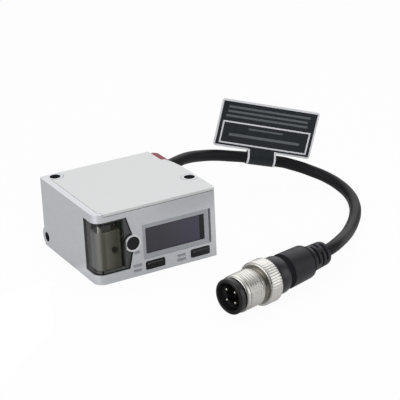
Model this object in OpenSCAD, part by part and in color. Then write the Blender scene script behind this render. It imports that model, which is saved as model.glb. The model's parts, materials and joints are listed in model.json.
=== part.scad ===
/* [Housing] */
// Width of the housing along its display face
body_w = 44; // [41:0.5:54]
// Depth of the housing from its display face to its optical face
body_d = 41.5; // [38:0.5:52]
// Height of the housing over its side cover
body_h = 24.3; // [24:0.1:30]
// Thickness of the cast wall on the right
wall = 1.6; // [1.4:0.1:1.9]
// Thickness of the cast floor
floor_t = 1.1; // [0.9:0.05:1.25]
// Thickness of the cast wall behind the display face
face_wall = 2.4; // [2.2:0.1:2.8]
// Thickness of the cast wall round the optical window
rear_wall = 2.2; // [2:0.1:2.6]
// Width of the cast rim that shows to the left of the side cover
rim_w = 2.3; // [2:0.1:2.8]
// Radius of the upright corner that the indicator wraps round
lamp_corner_r = 3.3; // [2.8:0.1:3.8]
// Radius of the other upright corners
corner_r = 0.9; // [0.5:0.1:1.4]
// Depth of the corner post beside the front edge of the side cover
post_d = 1.6; // [1:0.1:2.2]
// Distance from the display face to where the right side starts to curve in
curve_from = 19.75; // [16:0.25:22]
// Radius of the curve on the right side
curve_r = 44; // [36:1:60]
// Radius of the lip where that curve meets the cable outlet
lip_r = 1; // [0.4:0.1:1.4]
// Radius of the top where it meets the cable outlet at the optical face
lip_end_r = 0.4; // [0.2:0.1:1]

/* [Side cover] */
// Thickness of the side cover
cover_t = 0.85; // [0.6:0.05:1.2]
// Gap round the edge of the side cover
cover_gap = 0.12; // [0.05:0.01:0.2]
// Height of the locating lip under the side cover
lip_h = 1.1; // [0.6:0.1:1.6]
// Thickness of that lip
lip_t = 0.7; // [0.5:0.1:1]
// Thickness of the gasket under the side cover
seal_t = 0.2; // [0.15:0.05:0.4]
// How far the gasket stands back from the outside
seal_back = 0.3; // [0.1:0.05:0.5]

/* [Mounting holes] */
// Radius of the through holes
hole_r = 1.85; // [1.6:0.05:2.1]
// Radius of the cast bosses round them
boss_r = 2.75; // [2.5:0.05:3.2]
// Distance of the first hole from the left side
hole_a_left = 4.6; // [4.2:0.1:6]
// Distance of the first hole from the optical face
hole_a_rear = 2.65; // [2.5:0.05:4]
// Distance of the second hole from the right side
hole_b_right = 2.6; // [2.4:0.1:3.5]
// Distance of the second hole from the display face
hole_b_face = 12.6; // [11:0.1:16]
// Radius of the half-round rail along the lower rear edge
rail_r = 3.5; // [3:0.1:3.6]
// How far the rail stands out past the optical face
rail_proud = 0.75; // [0.3:0.05:1.2]
// Radius of the blind hole in the left end of the rail
end_hole_r = 1.65; // [1.2:0.05:1.8]
// Depth of that hole
end_hole_deep = 2.4; // [1.5:0.1:2.6]

/* [Indicator] */
// Lowest point of the indicator cover
lamp_z0 = 3.4; // [3:0.1:4]
// Distance from the top of the housing to the indicator cover
lamp_drop = 2.9; // [2.6:0.1:3.6]
// Thickness of the indicator cover
lamp_t = 1; // [0.8:0.1:1.3]
// How far the cover reaches along the left side
lamp_side = 8.05; // [7:0.05:9]
// How far the cover reaches along the display face at its lower edge
lamp_low = 11.8; // [11:0.1:12.2]
// How far it reaches at its upper edge
lamp_top = 11.3; // [10.8:0.1:12]
// How far it reaches beside the round button
lamp_mid = 13.3; // [12.6:0.1:13.6]
// Width of the ledge behind the edge of the cover
ledge_w = 0.85; // [0.6:0.05:1.2]
// How far the opening behind the cover reaches along the display face
lamp_open = 10.8; // [10.4:0.1:11]
// Height of the light guide
guide_h = 13.1; // [11:0.1:15]
// Gap between the indicator cover and the light guide
guide_gap = 0.3; // [0.2:0.05:0.5]
// Width of the light guide along the display face
guide_w = 8.1; // [7:0.1:8.8]
// Depth of the light guide along the left side
guide_d = 4.95; // [4:0.05:5.5]
// Wall of the light guide, which is open at the back and the top
guide_wall = 0.9; // [0.7:0.05:1.2]
// Height of the fin on the corner of the light guide
guide_fin_h = 2.2; // [1.5:0.1:2.4]
// Width of that fin at its foot
guide_fin_w = 1.3; // [0.9:0.1:1.8]
// Radius of the locating hole in the face of the light guide
guide_hole_r = 0.9; // [0.6:0.1:1.2]
// Distance of that hole from the right edge of the light guide
guide_hole_in = 2.3; // [1.9:0.1:3.5]
// Height of that hole over the base
guide_hole_z = 11; // [9:0.5:14]

/* [Display] */
// Distance of the bezel from the left side
bezel_left = 16.9; // [16.5:0.1:18]
// Width of the bezel
bezel_w = 24.3; // [20:0.1:24.3]
// Lowest point of the bezel
bezel_z0 = 5.3; // [5:0.1:6]
// Height of the bezel
bezel_h = 12; // [10:0.1:13]
// Thickness of the bezel
bezel_t = 1.1; // [0.9:0.05:1.3]
// How far the bezel lies below the display face
bezel_sunk = 0.15; // [0.05:0.05:0.3]
// Width of the open groove to the right of the bezel
groove_w = 0.7; // [0.4:0.05:1]
// Width of the bezel frame on the left
frame_left = 1.1; // [0.9:0.05:1.4]
// Width of the bezel frame on the top
frame_top = 1.35; // [1:0.05:1.6]
// Width of the bezel frame on the right and the bottom
frame_wide = 1.65; // [1.4:0.05:2]
// Thickness of the display glass
glass_t = 0.7; // [0.5:0.05:0.8]
// Width of the step that the display glass is bonded to
glass_step = 0.45; // [0.3:0.05:0.6]
// Width of the rim of the wall that the glass stands in front of
panel_rim = 0.9; // [0.7:0.05:1.2]
// Thickness of the circuit boards
board_t = 0.8; // [0.6:0.1:1]

/* [Buttons] */
// Radius of the round button
round_r = 2.2; // [1.8:0.05:2.3]
// Distance of the round button from the left side
round_left = 13.2; // [13:0.1:13.6]
// Height of the round button over the base
round_z = 12.1; // [11:0.1:13]
// Width of the cast ring round that button
ring_w = 0.65; // [0.5:0.05:0.8]
// How far the ring stands out
ring_proud = 0.35; // [0.2:0.05:0.5]
// Width of the keys
key_w = 6.9; // [5.5:0.1:7.2]
// Height of the keys
key_h = 2.8; // [2.4:0.05:2.85]
// Lowest point of the keys
key_z0 = 1.5; // [1.4:0.05:1.6]
// Corner radius of the keys
key_r = 0.5; // [0.3:0.1:0.8]
// Distance of the left key from the left side
left_key_left = 17.5; // [16.5:0.1:18.5]
// Distance of the right key from the right side
right_key_right = 3; // [2.6:0.1:4]
// How far the buttons stand out
button_proud = 0.6; // [0.5:0.05:0.9]
// Width of the step round the bar of a key
key_step = 0.6; // [0.4:0.05:0.8]
// Travel of the buttons
travel = 0.4; // [0.2:0.05:0.5]
// Gap round the buttons
button_gap = 0.12; // [0.08:0.01:0.2]
// Thickness of the flange that keeps a button in
flange_t = 0.6; // [0.4:0.05:0.8]
// Width of that flange
flange_w = 0.6; // [0.4:0.05:0.7]

/* [Optics] */
// Distance of the optical window from the left side
window_left = 8.2; // [8:0.1:10]
// Width of the optical window
window_w = 29.6; // [26:0.1:30]
// Distance of the optical window from the top of the cast wall
window_drop = 0.9; // [0.6:0.1:1.4]
// Distance from the rail up to the optical window
window_rise = 1.15; // [0.8:0.05:1.2]
// Thickness of the optical window
window_t = 1.2; // [1:0.05:1.3]
// Corner radius of the optical window
window_r = 1; // [0.5:0.1:1.5]
// Thickness of the gasket behind it
window_seal_t = 0.3; // [0.2:0.05:0.4]
// Width of that gasket
window_seal_w = 1.1; // [0.8:0.1:1.4]
// Width of the optical block
block_w = 28.6; // [27:0.1:29]
// Depth of the optical block
block_d = 14.9; // [13:0.1:17]
// Radius of the receiver bore
receive_r = 6.3; // [5.5:0.1:6.5]
// Radius of the emitter bore
emit_r = 3; // [2.5:0.1:3.4]
// Distance between the emitter and receiver axes
optic_span = 15.2; // [14:0.1:16]
// Thickness of the receiver lens at its edge
lens_edge = 1.4; // [1:0.1:2]
// Radius of the curved face of the receiver lens
lens_curve = 16; // [12:0.5:24]

/* [Cable outlet] */
// Width of the corner block, from the right side
outlet_w = 3; // [2.8:0.1:3.8]
// Depth of the corner block, from the optical face
outlet_d = 9.75; // [9:0.05:10.5]
// Height of the corner block
outlet_h = 10.4; // [9.6:0.1:11.2]
// How far the top of the block lies below the side cover
outlet_drop = 0.8; // [0.6:0.1:1.4]
// Radius of its upright outer corner
outlet_r = 2; // [1:0.1:2.6]
// Radius of its other outer corner
outlet_edge_r = 0.5; // [0.2:0.1:1]
// Radius of the inner corner of its pocket
pocket_r = 0.8; // [0.4:0.1:1.2]
// Distance from the top of the housing to the cable where it leaves
exit_drop = 5.3; // [5.1:0.1:5.8]
// Distance from the optical face to the cable where it leaves
exit_rear = 4.55; // [4:0.05:5]
// Turn of the cable from the square as it leaves
exit_turn = 15; // [8:1:20]
// Radius of the cable
cable_r = 2.05; // [1.6:0.05:2.2]
// Gap between the cable and the bores that hold it
cable_gap = 0.06; // [0.03:0.01:0.15]
// Radius of the tongue that locks the block into the housing
tongue_r = 3; // [2.8:0.1:3.1]

/* [Plug] */
// Radius over the thread of the coupling nut
thread_r = 6; // [5.8:0.05:6.2]
// Length of the thread
thread_l = 7.4; // [5:0.1:9]
// Chamfer that leads the thread in
thread_lead = 0.35; // [0.2:0.05:0.6]
// Radius of the knurled ring
knurl_r = 7.2; // [6.6:0.1:8]
// Length of the knurled ring
knurl_l = 5.5; // [4:0.5:8]
// Chamfer at the front of the knurled ring
knurl_front = 0.45; // [0.2:0.05:0.8]
// Chamfer at its rear
knurl_rear = 0.8; // [0.3:0.05:1.2]
// Depth of a groove in the knurl
knurl_deep = 0.35; // [0.2:0.05:0.45]
// Number of grooves in the knurl
knurl_n = 44; // [24:2:60]
// Length of the groove between thread and knurl
neck_l = 2; // [1.5:0.1:3]
// Depth of that groove below the thread
neck_in = 0.7; // [0.5:0.05:0.9]
// How far the black collar lies inside the thread
collar_in = 0.25; // [0.15:0.05:0.5]
// Length of the black collar
collar_l = 2.6; // [2:0.1:4]
// Width of the groove between the collar and the nut
collar_groove_w = 0.7; // [0.4:0.05:1]
// Depth of that groove
collar_groove_in = 0.5; // [0.3:0.05:0.7]
// Wall of the collar round the pins
collar_wall = 1.35; // [1.1:0.05:1.5]
// Wall of the insert round the pins
insert_wall = 0.7; // [0.5:0.05:0.9]
// Depth of the cavity round the pins
cavity_l = 6.5; // [5:0.1:8]
// Wall of the nut at the groove between thread and knurl
nut_wall = 0.72; // [0.6:0.02:0.9]
// Running gap between the nut and the insert
nut_gap = 0.08; // [0.05:0.01:0.12]
// Radius of a contact pin
pin_r = 0.5; // [0.4:0.05:0.6]
// Radius of the circle of pins
pin_ring_r = 2.5; // [2:0.1:2.8]
// Radius of the grip behind the knurl
grip_r = 6.2; // [5.8:0.1:6.6]
// Length of the grip
grip_l = 6.6; // [5:0.1:9]
// Length of the cone that the grip narrows down by
grip_slope = 2.7; // [1.5:0.1:4]
// Radius of the barrel where it meets the grip
barrel_r = 5.85; // [5.2:0.05:6]
// Radius of the barrel at its rear
barrel_end_r = 5.6; // [4.8:0.05:5.8]
// Length of the barrel
barrel_l = 10.7; // [8:0.1:14]
// Radius of the strain relief at the barrel
relief_r = 4.3; // [3.8:0.1:4.6]
// Radius of the strain relief at its end
relief_end_r = 3.95; // [3.5:0.05:4.2]
// Length of the strain relief
relief_l = 8.2; // [7:0.1:12]
// Width of a slot in the strain relief
slot_w = 0.8; // [0.5:0.1:1]
// Distance from the barrel to the first ring of slots
slot_first = 1.6; // [1:0.1:2]
// Distance from one ring of slots to the next
slot_pitch = 2; // [1.4:0.1:2.2]
// Number of rings of slots along the strain relief
slot_n = 3; // [1:1:3]
// Width of the three bridges between the slots of a ring
bridge_w = 2; // [1.2:0.1:3]
// Turn of the bridges of the first ring round the cable
slot_turn = 26; // [0:1:60]
// Turn from there to the bridges of every second ring
slot_step = 46; // [30:1:90]

/* [Flag label] */
// Length of the flag along the cable
flag_l = 35.9; // [20:0.1:40]
// Height of the flag
flag_h = 17.8; // [10:0.1:20]
// Distance of the flag's near edge from the cable axis
flag_up = 2.7; // [2.5:0.1:4]
// Thickness of the flag
flag_t = 0.4; // [0.3:0.05:0.6]
// Corner radius of the flag
flag_r = 0.9; // [0.3:0.1:2]
// Turn of the flag against the part that is wrapped round the cable
flag_skew = 1.2; // [-2:0.1:2]
// Length of the part that is wrapped round the cable
wrap_l = 10.4; // [6:0.2:10.6]
// Wall of the wrapped part
wrap_t = 0.25; // [0.15:0.05:0.4]

/* [Hidden] */
$fn = 64;

// Overlap that keeps cuts clean
slack = 0.01;
// Gap between pieces that are pushed or bonded together
fit = 0.05;
// Sides of the housing
left = -body_w / 2;
right = body_w / 2;
face = -body_d / 2;
rear = body_d / 2;
// Top of the cast wall under the gasket
rim_z = body_h - cover_t - seal_t;
// Places of the through holes
hole_a = [left + hole_a_left, rear - hole_a_rear];
hole_b = [right - hole_b_right, face + hole_b_face];
// Axis of the rail
rail_y = rear + rail_proud - rail_r;
rail_z = rail_r;
// Start of the curve on the right side
curve_y = face + curve_from;
// Corner of the pocket for the cable outlet
outlet_x = right - outlet_w;
outlet_y = rear - outlet_d;
outlet_top = body_h - outlet_drop;
exit_z = body_h - exit_drop;
shelf_z = outlet_top - outlet_h;
// Middle of the lip between the curve and the pocket
lip_y = outlet_y - lip_r;
lip_x = right - curve_r + sqrt(pow(curve_r - lip_r, 2) - pow(lip_y - curve_y, 2));
// Inside faces of the front and rear walls
inside_face = face + face_wall;
inside_rear = rear - rear_wall;
// Opening behind the indicator cover
open_z0 = lamp_z0 + ledge_w;
lamp_z1 = body_h - lamp_drop;
open_z1 = lamp_z1 - ledge_w;
open_side = lamp_side - ledge_w;
// Back and right faces of the light guide
guide_in = lamp_t + guide_gap;
guide_x1 = left + guide_in + guide_w;
guide_y1 = face + guide_in + guide_d;
guide_z0 = open_z0 + fit;
// Edges of the bezel and of the glass in it
bezel_x0 = left + bezel_left;
bezel_x1 = bezel_x0 + bezel_w;
bezel_z1 = bezel_z0 + bezel_h;
bezel_y0 = face + bezel_sunk;
bezel_y1 = bezel_y0 + bezel_t;
glass_x0 = bezel_x0 + frame_left;
glass_x1 = bezel_x1 - frame_wide;
glass_z0 = bezel_z0 + frame_wide;
glass_z1 = bezel_z1 - frame_top;
glass_y0 = bezel_y1 - glass_t;
// Buttons, seen from the front
round_x = left + round_left;
ring_r = round_r + ring_w;
left_key_x = left + left_key_left;
right_key_x = right - right_key_right - key_w;
key_z1 = key_z0 + key_h;
// Stack behind the display face, from the button flanges to the circuit board
flange_y0 = inside_face + button_gap;
flange_y1 = flange_y0 + flange_t;
plunger_y0 = flange_y1 + travel + button_gap;
plunger_l = 0.4;
plunger_r = 0.6;
switch_t = 1.5;
switch_w = 3;
switch_y0 = plunger_y0 + plunger_l;
panel_y0 = switch_y0 + switch_t;
panel_y1 = panel_y0 + board_t;
panel_x0 = guide_x1 + 1.6;
panel_x1 = right - wall - 0.4;
panel_z0 = floor_t + 0.3;
panel_z1 = rim_z - lip_h - 0.3;
// Main circuit board on its pillars
pillar_h = 1.9;
pillar_r = 1.5;
pillar_in = 1.9;
main_z0 = floor_t + pillar_h;
main_x0 = left + rim_w + 1.2;
main_x1 = hole_b[0] - boss_r - 0.5;
main_y0 = max(panel_y1, guide_y1 + fit + board_t) + 0.5;
screw_r = 0.7;
screw_head_r = 1.25;
screw_head_h = 0.8;
screw_l = 2.2;
// Optical block between the main board and the optical window
block_y1 = inside_rear - 0.6;
block_y0 = block_y1 - block_d;
block_x0 = left + window_left + (window_w - block_w) / 2;
block_x1 = block_x0 + block_w;
block_z0 = rail_z + rail_r + 0.2;
block_z1 = rim_z - lip_h - 0.3;
main_y1 = block_y0 - 0.5;
leg_w = 3;
window_x0 = left + window_left;
window_z1 = rim_z - window_drop;
window_z0 = rail_z + rail_r + window_rise;
window_h = window_z1 - window_z0;
optic_z = window_z1 - window_h / 2;
emit_x = (block_x0 + block_x1) / 2 - optic_span * 0.6;
receive_x = emit_x + optic_span;
diode_flange_r = 2.8;
diode_flange_t = 1.2;
diode_can_r = 1.8;
diode_can_l = 2.4;
diode_pin_r = 0.22;
diode_pin_l = 2;
collimator_t = 2;
collimator_in = 4;
// Where the cable leaves the outlet block
exit_at = [right, rear - exit_rear, exit_z];
tongue_l = 2.2;
// Route of the cable from inside the outlet block to inside the plug
cable_route = [[17.4, 15, 19], [19.5, 15.5, 19], [22, 16.2, 19], [25, 17, 19], [29, 19, 18.8], [34.5, 22, 18],
    [42, 24.7, 16.3], [48, 25.5, 14.9], [54, 25.3, 13.3], [59.6, 24.3, 11.9], [69.8, 20.5, 9.3],
    [75, 16.8, 7.8], [79.4, 12, 6.1], [82.6, 6, 4.6], [83.8, -0.8, 3.3], [83, -7.7, 2.4], [80.2, -14.6, 2.1],
    [76.2, -21.2, 2.1], [71.2, -27.4, 2.1], [65.8, -33.2, 2.6], [60.3, -39, 3.9], [55, -44.4, 5.6],
    [51.4, -47.8, 6.6], [47.4, -50.6, 7.1], [43, -52.4, 7.2], [39.1, -53.5, 7.2]];
cable_sides = 10;
// Place and heading of the plug, and its stations from the front
plug_at = [1.6, -63.9, knurl_r];
plug_turn = 15.5;
collar_r = thread_r - collar_in;
neck_r = thread_r - neck_in;
insert_r = neck_r - nut_wall - nut_gap;
thread_at = collar_l;
neck_at = thread_at + thread_l;
knurl_at = neck_at + neck_l;
grip_at = knurl_at + knurl_l + 0.1;
barrel_at = grip_at + grip_l;
relief_at = barrel_at + barrel_l;
plug_l = relief_at + relief_l;
socket_l = 4;
carrier_l = grip_at + socket_l - fit;
cable_bore_l = 12;
pin_front = 0.8;
slot_floor = cable_r + cable_gap + 0.35;
waist = 0.4;
// Middle of the wrapped stretch of cable, and how the label lies along it
flag_at = [64.5, 22.5, 10.65];
flag_turn = -20.4;
flag_dip = 13.4;
flag_shift = -0.2;
wrap_gap = 0.08;

cast_grey = "#B4B7BB";
cover_grey = "#DEDEDE";
smoke = "#5A5A54";
olive = "#7C7D70";
moulded_black = "#26262A";
board_green = "#2F5A45";
nickel = "#C6C5C0";
deep_red = "#A04A52";

// What rounding takes off a square corner, with the way inward given by two signs
module corner_waste(at, way, r) {
    translate([at[0] + way[0] * r, at[1] + way[1] * r])
        difference() {
            translate([way[0] > 0 ? -r - slack : 0, way[1] > 0 ? -r - slack : 0]) square(r + slack);
            circle(r);
        }
}

// Rectangle with four round corners
module round_rect(w, h, r) {
    difference() {
        square([w, h]);
        corner_waste([0, 0], [1, 1], r);
        corner_waste([w, 0], [-1, 1], r);
        corner_waste([0, h], [1, -1], r);
        corner_waste([w, h], [-1, -1], r);
    }
}

// Box with round corners as seen from the front, from y0 back to y1
module front_slab(x0, z0, w, h, y0, y1, r) {
    translate([x0, y1, z0]) rotate([90, 0, 0]) linear_extrude(y1 - y0) round_rect(w, h, r);
}

// Box between two corners
module block(from, to) {
    translate(from) cube(to - from);
}

// Outline of the housing from above, moved in by a distance
module plan(inset = 0) {
    x0 = left + inset;
    x1 = right - inset;
    y0 = face + inset;
    y1 = rear - inset;
    small_r = max(corner_r - inset, 0.3);
    difference() {
        translate([x0, y0]) square([x1 - x0, y1 - y0]);
        corner_waste([x0, y0], [1, 1], lamp_corner_r - inset);
        corner_waste([x1, y0], [-1, 1], small_r);
        corner_waste([x0, y1], [1, -1], small_r);
        corner_waste([x1, y1], [-1, -1], max(outlet_r - inset, 0.3));
        difference() {
            translate([lip_x, curve_y]) square([body_w, outlet_y + inset - curve_y]);
            translate([right - curve_r, curve_y]) circle(curve_r - inset, $fn = 96);
        }
    }
}

// Corner that is taken out of the outline for the cable outlet
module outlet_corner(grow = 0) {
    difference() {
        translate([outlet_x - grow, outlet_y - grow]) square([outlet_w + grow + 1, outlet_d + grow + 1]);
        corner_waste([outlet_x - grow, outlet_y - grow], [1, 1], pocket_r);
    }
}

// Outline of the top of the housing, with its lip and the outlet corner open
module top_plan() {
    difference() {
        plan();
        outlet_corner();
        translate([lip_x, lip_y])
            difference() {
                square([2 * lip_r, lip_r + slack]);
                circle(lip_r);
            }
        corner_waste([outlet_x, rear], [-1, -1], lip_end_r);
    }
}

// The room inside the cast walls from above, moved in by a distance
module room(inset = 0) {
    difference() {
        intersection() {
            plan(wall + inset);
            translate([left + rim_w + inset, inside_face + inset])
                square([body_w, inside_rear - inside_face - 2 * inset]);
        }
        translate(hole_a) circle(boss_r + inset);
        translate(hole_b) circle(boss_r + inset);
    }
}

// The part of the top that belongs to the housing: left rim, corner post and bosses
module rim_plan(grow = 0) {
    intersection() {
        top_plan();
        union() {
            translate([left - 1, face - 1]) square([rim_w + 1 + grow, body_d + 2]);
            translate([left - 1, face - 1]) square([lamp_corner_r + 1 + grow, post_d + 1 + grow]);
            translate([left - 1, hole_a[1]]) square([hole_a_left + 1, body_d]);
            translate(hole_a) circle(boss_r + grow);
            translate(hole_b) circle(boss_r + grow);
        }
    }
}

// Outline of the indicator cover as seen from the front, cut out along the display face
module lamp_front(grow = 0) {
    z0 = lamp_z0 - grow;
    z1 = lamp_z1 + grow;
    translate([0, face + lamp_side + grow, 0]) rotate([90, 0, 0])
        linear_extrude(lamp_side + 2)
            difference() {
                polygon([[left - 1, z0], [left + lamp_low + grow, z0],
                    [left + lamp_mid + grow, round_z - ring_r], [left + lamp_mid + grow, round_z + ring_r],
                    [left + lamp_top + grow, z1], [left - 1, z1]]);
                translate([round_x, round_z]) circle(ring_r + fit - grow);
            }
}

// Shell that follows the corner of the housing between two depths
module corner_band(from, to, z0, z1) {
    translate([0, 0, z0])
        linear_extrude(z1 - z0)
            difference() {
                plan(from);
                plan(to);
            }
}

// Cable bore through the outlet block and its tongue
module along_exit() {
    translate(exit_at) rotate([0, 0, exit_turn]) rotate([0, 90, 0]) children();
}

// Rear wall with the stepped opening for the optical window
module window_cut() {
    depth = window_t + window_seal_t;
    front_slab(window_x0 - fit, window_z0 - fit, window_w + 2 * fit, window_h + 2 * fit,
        rear - depth, rear + 1, window_r);
    front_slab(window_x0 + window_seal_w, window_z0 + window_seal_w, window_w - 2 * window_seal_w,
        window_h - 2 * window_seal_w, inside_rear - 1, rear, 0.8);
}

// Display face with its recess, button holes and openings
module face_cuts() {
    front_slab(bezel_x0 - fit, bezel_z0 - fit, bezel_w + fit + groove_w, bezel_h + 2 * fit,
        face - 1, bezel_y1 + fit, 0.3);
    front_slab(glass_x0 + panel_rim, glass_z0 + panel_rim, glass_x1 - glass_x0 - 2 * panel_rim,
        glass_z1 - glass_z0 - 2 * panel_rim, face, inside_face + 1, 0.4);
    translate([round_x, inside_face + 1, round_z]) rotate([90, 0, 0])
        cylinder(r = round_r + button_gap, h = face_wall + 3);
    for (x = [left_key_x, right_key_x])
        front_slab(x - button_gap, key_z0 - button_gap, key_w + 2 * button_gap, key_h + 2 * button_gap,
            face - 1, inside_face + 1, key_r + button_gap);
}

// The four places where the main board is screwed down
module at_pillars(z) {
    for (x = [main_x0 + pillar_in, main_x1 - pillar_in], y = [main_y0 + pillar_in, main_y1 - pillar_in])
        translate([x, y, z]) children();
}

module housing() {
    color(cast_grey)
        difference() {
            union() {
                difference() {
                    linear_extrude(shelf_z) plan();
                    translate([0, 0, floor_t]) linear_extrude(body_h) room();
                }
                translate([0, 0, shelf_z - wall])
                    linear_extrude(wall) intersection() {
                        plan();
                        outlet_corner(wall);
                    }
                translate([0, 0, shelf_z])
                    linear_extrude(rim_z - shelf_z) difference() {
                        top_plan();
                        difference() {
                            room();
                            outlet_corner(wall);
                        }
                    }
                translate([0, 0, rim_z]) linear_extrude(body_h - rim_z) rim_plan();
                intersection() {
                    translate([left, rail_y, rail_z]) rotate([0, 90, 0]) cylinder(r = rail_r, h = body_w);
                    block([left, face, 0], [right, rear + rail_r, body_h]);
                }
                translate([round_x, inside_face, round_z]) rotate([90, 0, 0])
                    cylinder(r = ring_r, h = face_wall + ring_proud);
                at_pillars(floor_t / 2) cylinder(r = pillar_r, h = main_z0 - floor_t / 2);
            }
            for (at = [hole_a, hole_b])
                translate([at[0], at[1], -1]) cylinder(r = hole_r, h = body_h + 2);
            translate([left - 1, rail_y, rail_z]) rotate([0, 90, 0])
                cylinder(r = end_hole_r, h = end_hole_deep + 1);
            intersection() {
                corner_band(-1, lamp_t + fit, 0, body_h);
                lamp_front(fit);
            }
            block([left - 1, face - 1, open_z0], [left + lamp_open, face + open_side, open_z1]);
            face_cuts();
            window_cut();
            along_exit() translate([0, 0, -outlet_w - tongue_l - wall])
                cylinder(r = tongue_r + fit, h = tongue_l + 2 * wall);
            at_pillars(main_z0 + board_t - screw_l - fit) cylinder(r = screw_r + fit, h = screw_l + 1);
        }
}

module side_cover() {
    color(cover_grey) {
        translate([0, 0, body_h - cover_t])
            linear_extrude(cover_t) difference() {
                top_plan();
                rim_plan(cover_gap);
            }
        translate([0, 0, rim_z - lip_h])
            linear_extrude(lip_h + seal_t + slack) difference() {
                lip_ring(cover_gap);
                lip_ring(cover_gap + lip_t);
            }
    }
}

// Outline of the locating lip, clear of the corner that the outlet tongue comes through
module lip_ring(inset) {
    difference() {
        room(inset);
        outlet_corner(wall + inset);
    }
}

module cover_seal() {
    color(moulded_black)
        translate([0, 0, rim_z])
            linear_extrude(seal_t) difference() {
                intersection() {
                    top_plan();
                    plan(seal_back);
                }
                outlet_corner(seal_back);
                rim_plan(cover_gap);
                lip_ring(fit);
            }
}

module indicator_cover() {
    color(smoke, 0.6)
        intersection() {
            corner_band(0, lamp_t, 0, body_h);
            lamp_front();
        }
}

// Outline of the light guide from above, moved in by the thickness of its wall
module guide_plan(inset = 0) {
    intersection() {
        plan(guide_in + inset);
        translate([left, face]) square([guide_x1 - inset - left, guide_y1 - face + inset]);
    }
}

// Wall round the lamps, which stands on the floor of the opening and is open to the board
module guide_shell(h) {
    translate([0, 0, guide_z0])
        linear_extrude(h) difference() {
            guide_plan();
            guide_plan(guide_wall);
        }
}

module light_guide() {
    fin_tip = 0.2;
    fin_deep = 1.5 * guide_wall;
    color(olive) {
        difference() {
            guide_shell(guide_h);
            translate([guide_x1 - guide_hole_in, face, guide_hole_z]) rotate([-90, 0, 0])
                cylinder(r = guide_hole_r, h = guide_in + 2 * guide_wall);
        }
        intersection() {
            guide_shell(guide_h + guide_fin_h);
            translate([left + guide_in + guide_wall, face + guide_in + fin_deep, guide_z0 + guide_h - slack])
                rotate([90, 0, 0]) linear_extrude(fin_deep + slack)
                    polygon([[0, 0], [guide_fin_w, 0], [fin_tip, guide_fin_h], [0, guide_fin_h]]);
        }
    }
}

// Lamps behind the light guide
led_w = 1.6;
led_t = 0.8;
led_x = (left + rim_w + guide_x1) / 2;
led_rows = [for (k = [0.25, 0.5, 0.75]) guide_z0 + k * guide_h];

module indicator_leds() {
    color("#E8E3C8")
        for (z = led_rows)
            block([led_x - led_w / 2, guide_y1 - led_t + fit, z - led_w / 2],
                [led_x + led_w / 2, guide_y1 + fit, z + led_w / 2]);
}

module indicator_board() {
    color(board_green)
        block([left + rim_w + 0.4, guide_y1 + fit, panel_z0],
            [guide_x1 + 0.8, guide_y1 + fit + board_t, guide_z0 + guide_h]);
}

module display_bezel() {
    color(cover_grey)
        difference() {
            front_slab(bezel_x0, bezel_z0, bezel_w, bezel_h, bezel_y0, bezel_y1, 0.3);
            front_slab(glass_x0, glass_z0, glass_x1 - glass_x0, glass_z1 - glass_z0, face - 1, rear, 0.3);
            front_slab(glass_x0 - glass_step - fit, glass_z0 - glass_step - fit,
                glass_x1 - glass_x0 + 2 * (glass_step + fit), glass_z1 - glass_z0 + 2 * (glass_step + fit),
                glass_y0 - fit / 2, rear, 0.3);
        }
}

module display_glass() {
    color("#3E3C44")
        front_slab(glass_x0 - glass_step, glass_z0 - glass_step, glass_x1 - glass_x0 + 2 * glass_step,
            glass_z1 - glass_z0 + 2 * glass_step, glass_y0, bezel_y1, 0.3);
}

module display_panel() {
    edge = panel_rim + 0.15;
    color("#2E2D38")
        front_slab(glass_x0 + edge, glass_z0 + edge, glass_x1 - glass_x0 - 2 * edge,
            glass_z1 - glass_z0 - 2 * edge, bezel_y1 + 2 * fit, panel_y0, 0.3);
}

module panel_board() {
    color(board_green) block([panel_x0, panel_y0, panel_z0], [panel_x1, panel_y1, panel_z1]);
}

// Places of the three switches behind the buttons
switch_places = [[round_x, round_z], [left_key_x + key_w / 2, (key_z0 + key_z1) / 2],
    [right_key_x + key_w / 2, (key_z0 + key_z1) / 2]];

module key_switches() {
    high = 2.4;
    color("#C9C9C4")
        for (at = switch_places) {
            block([at[0] - switch_w / 2, switch_y0, at[1] - high / 2],
                [at[0] + switch_w / 2, panel_y0, at[1] + high / 2]);
            translate([at[0], switch_y0 + slack, at[1]]) rotate([90, 0, 0])
                cylinder(r = plunger_r, h = plunger_l + slack);
        }
}

module round_button() {
    color(moulded_black)
        translate([round_x, 0, round_z]) rotate([90, 0, 0]) {
            translate([0, 0, -inside_face - 2 * button_gap])
                cylinder(r = round_r, h = face_wall + 2 * button_gap + button_proud);
            translate([0, 0, -flange_y1]) cylinder(r = round_r + flange_w, h = flange_t);
        }
}

// Key with a raised bar in front and a flange behind
module key(x) {
    color(moulded_black) {
        front_slab(x, key_z0, key_w, key_h, face - button_proud / 3, flange_y1, key_r);
        front_slab(x + key_step, key_z0 + key_step, key_w - 2 * key_step, key_h - 2 * key_step,
            face - button_proud, face, key_r);
        block([x - flange_w, flange_y0, key_z0], [x + key_w + flange_w, flange_y1, key_z1 + flange_w]);
    }
}

module main_board() {
    color(board_green)
        difference() {
            block([main_x0, main_y0, main_z0], [main_x1, main_y1, main_z0 + board_t]);
            at_pillars(main_z0 - 1) cylinder(r = screw_r + 2 * fit, h = board_t + 2);
        }
}

// Processor, two power parts and the connector for the cable leads
module main_chips() {
    z = main_z0 + board_t;
    middle = (main_x0 + main_x1) / 2;
    color("#1E1F22") {
        block([middle - 6, main_y0 + 4.5, z], [middle + 1, main_y0 + 11.5, z + 1.1]);
        block([middle - 11, main_y0 + 5, z], [middle - 8, main_y0 + 8, z + 1.6]);
        block([middle + 3, main_y0 + 4.5, z], [middle + 6, main_y0 + 9.5, z + 2.2]);
    }
}

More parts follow.
